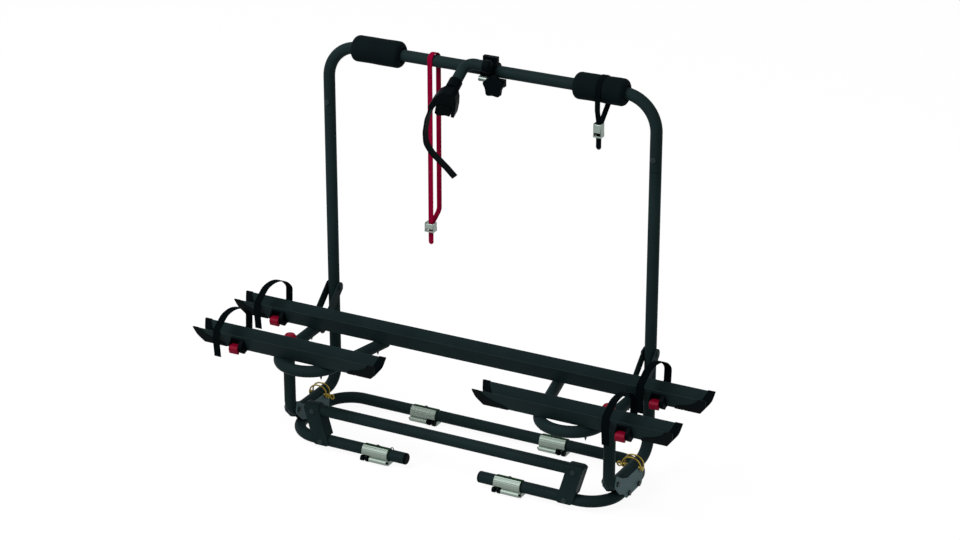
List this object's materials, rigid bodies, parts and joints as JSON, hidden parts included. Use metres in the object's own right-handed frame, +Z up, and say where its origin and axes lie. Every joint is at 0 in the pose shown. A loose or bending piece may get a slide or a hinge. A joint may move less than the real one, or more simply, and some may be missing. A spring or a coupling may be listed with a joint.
{
  "type": "drawbar bicycle rack",
  "caption": "Tubular bicycle rack that clamps to a caravan's drawbar, with a tilting hoop frame, wheel rails, wheel straps and an adjustable holding arm.",
  "frame": {"origin": "centre of the inner drawbar bolt pattern, in the plane of the clamps' feet", "axes": "+X across the trailer along the wheel rails, +Y away from the car, +Z up"},
  "size_m": [1.3314, 0.4093, 1.0431],
  "materials": {
    "frame_paint": "dark grey powder coat, slight texture",
    "plate_paint": "lighter grey powder coat",
    "black_plastic": "black, fine moulded grain",
    "black_rubber": "matt black",
    "black_foam": "soft foam skin, matt black",
    "liner_rubber": "dark green rubber",
    "clamp_metal": "pale cast and extruded, satin",
    "zinc_steel": "zinc plated",
    "black_steel": "blackened steel",
    "gold_zinc": "yellow zinc plated",
    "red_plastic": "deep red, satin gloss",
    "black_webbing": "woven, black",
    "red_webbing": "woven, red"
  },
  "bodies": {
    "base": {"base_loop": "frame_paint", "base_end_plugs": "black_plastic", "cross_bar": "frame_paint", "left_cross_bar_bracket": "frame_paint", "right_cross_bar_bracket": "frame_paint", "base_bolts": "black_steel", "pivot_bolts": "black_steel", "left_outer_hinge_plate": "plate_paint", "left_inner_hinge_plate": "plate_paint", "right_outer_hinge_plate": "plate_paint", "right_inner_hinge_plate": "plate_paint", "clamp_shells": "clamp_metal", "clamp_jaws": "clamp_metal", "clamp_liners": "liner_rubber", "clamp_pins": "black_steel", "clamp_bolts": "black_steel"},
    "carrier": {"left_side_frame": "frame_paint", "right_side_frame": "frame_paint", "hoop": "frame_paint", "hoop_spigots": "zinc_steel", "hoop_screws": "black_steel", "left_foam_pad": "black_foam", "right_foam_pad": "black_foam", "left_platform_loop": "frame_paint", "right_platform_loop": "frame_paint", "platform_plugs": "black_plastic", "rail_screws": "black_steel", "strut_plates": "frame_paint", "strut_bolts": "black_steel", "rear_rail": "frame_paint", "left_front_rail": "frame_paint", "right_front_rail": "frame_paint", "rail_end_caps": "black_plastic", "rear_wheel_straps": "black_webbing", "front_wheel_straps": "black_webbing", "ratchet_frames": "black_plastic", "pad_strap": "black_webbing", "load_strap": "red_webbing", "cam_buckles": "zinc_steel"},
    "left_knob": {"left_clamp_knob": "red_plastic"},
    "right_knob": {"right_clamp_knob": "red_plastic"},
    "left_pin": {"left_lock_pin": "gold_zinc"},
    "right_pin": {"right_lock_pin": "gold_zinc"},
    "left_bow": {"left_pin_bow": "gold_zinc"},
    "right_bow": {"right_pin_bow": "gold_zinc"},
    "rear_left_lever": {"rear_left_ratchet_lever": "red_plastic"},
    "rear_right_lever": {"rear_right_ratchet_lever": "red_plastic"},
    "front_left_lever": {"front_left_ratchet_lever": "red_plastic"},
    "front_right_lever": {"front_right_ratchet_lever": "red_plastic"},
    "bike_arm": {"block_clamp_front": "black_plastic", "block_clamp_rear": "black_plastic", "block_barrel_nut": "zinc_steel", "bike_arm": "frame_paint", "arm_collar": "black_plastic"},
    "star_knob": {"star_knob": "black_plastic"},
    "claw": {"claw": "black_plastic", "claw_pad": "black_rubber", "claw_strap": "black_plastic"},
    "pad_lever": {"pad_buckle_lever": "zinc_steel"},
    "load_lever": {"load_buckle_lever": "zinc_steel"}
  },
  "joints": [
    {"name": "carrier_tilt", "type": "hinge", "parent": "base", "child": "carrier", "pos_m": [0, -0.1275, 0.082], "axis": [1, 0, 0], "range_deg": [0, 50]},
    {"name": "left_pin_pull", "type": "slide", "parent": "carrier", "child": "left_pin", "axis": [1, 0, 0], "range_m": [0, 0.045]},
    {"name": "left_bow_swing", "type": "hinge", "parent": "left_pin", "child": "left_bow", "pos_m": [-0.427, 0.0045, 0.066], "axis": [0, 1, 0], "range_deg": [0, 110]},
    {"name": "left_knob_turn", "type": "hinge", "parent": "carrier", "child": "left_knob", "pos_m": [-0.44739, -0.14, 0.275], "axis": [0, 0, 1], "continuous": true},
    {"name": "right_pin_pull", "type": "slide", "parent": "carrier", "child": "right_pin", "axis": [-1, 0, 0], "range_m": [0, 0.045]},
    {"name": "right_bow_swing", "type": "hinge", "parent": "right_pin", "child": "right_bow", "pos_m": [0.427, 0.0045, 0.066], "axis": [0, -1, 0], "range_deg": [0, 110]},
    {"name": "right_knob_turn", "type": "hinge", "parent": "carrier", "child": "right_knob", "pos_m": [0.44739, -0.14, 0.275], "axis": [0, 0, 1], "continuous": true},
    {"name": "rear_left_lever_lift", "type": "hinge", "parent": "carrier", "child": "rear_left_lever", "pos_m": [-0.537, -0.05459, 0.2891], "axis": [-1, 0, 0], "range_deg": [0, 70], "stiffness_Nm_per_rad": 0.02, "springref_deg": -14.32},
    {"name": "rear_right_lever_lift", "type": "hinge", "parent": "carrier", "child": "rear_right_lever", "pos_m": [0.537, -0.05459, 0.2891], "axis": [-1, 0, 0], "range_deg": [0, 70], "stiffness_Nm_per_rad": 0.02, "springref_deg": -14.32},
    {"name": "front_left_lever_lift", "type": "hinge", "parent": "carrier", "child": "front_left_lever", "pos_m": [-0.537, -0.25089, 0.2891], "axis": [-1, 0, 0], "range_deg": [0, 70], "stiffness_Nm_per_rad": 0.02, "springref_deg": -14.32},
    {"name": "front_right_lever_lift", "type": "hinge", "parent": "carrier", "child": "front_right_lever", "pos_m": [0.537, -0.25089, 0.2891], "axis": [-1, 0, 0], "range_deg": [0, 70], "stiffness_Nm_per_rad": 0.02, "springref_deg": -14.32},
    {"name": "pad_lever_press", "type": "hinge", "parent": "carrier", "child": "pad_lever", "pos_m": [0.312, 0.0635, 0.922], "axis": [-1, 0, 0], "range_deg": [0, 60], "stiffness_Nm_per_rad": 0.02, "springref_deg": -14.32},
    {"name": "load_lever_press", "type": "hinge", "parent": "carrier", "child": "load_lever", "pos_m": [-0.154, 0.0705, 0.576], "axis": [-1, 0, 0], "range_deg": [0, 60], "stiffness_Nm_per_rad": 0.02, "springref_deg": -14.32},
    {"name": "arm_swing", "type": "hinge", "parent": "carrier", "child": "bike_arm", "pos_m": [0.0075, 0.0925, 1.0066], "axis": [1, 0, 0], "range_deg": [-30, 15]},
    {"name": "star_knob_turn", "type": "hinge", "parent": "bike_arm", "child": "star_knob", "pos_m": [0.035, 0.0605, 0.9806], "axis": [0, 1, 0], "continuous": true},
    {"name": "claw_turn", "type": "hinge", "parent": "bike_arm", "child": "claw", "pos_m": [-0.044, -0.01485, 0.9825], "axis": [0, -0.8631, -0.505], "range_deg": [-30, 30]}
  ],
  "couplings": [
    {"joint": "left_bow_swing", "follows": "left_pin_pull", "rad_per_m": 42.6},
    {"joint": "right_bow_swing", "follows": "right_pin_pull", "rad_per_m": 42.6}
  ]
}
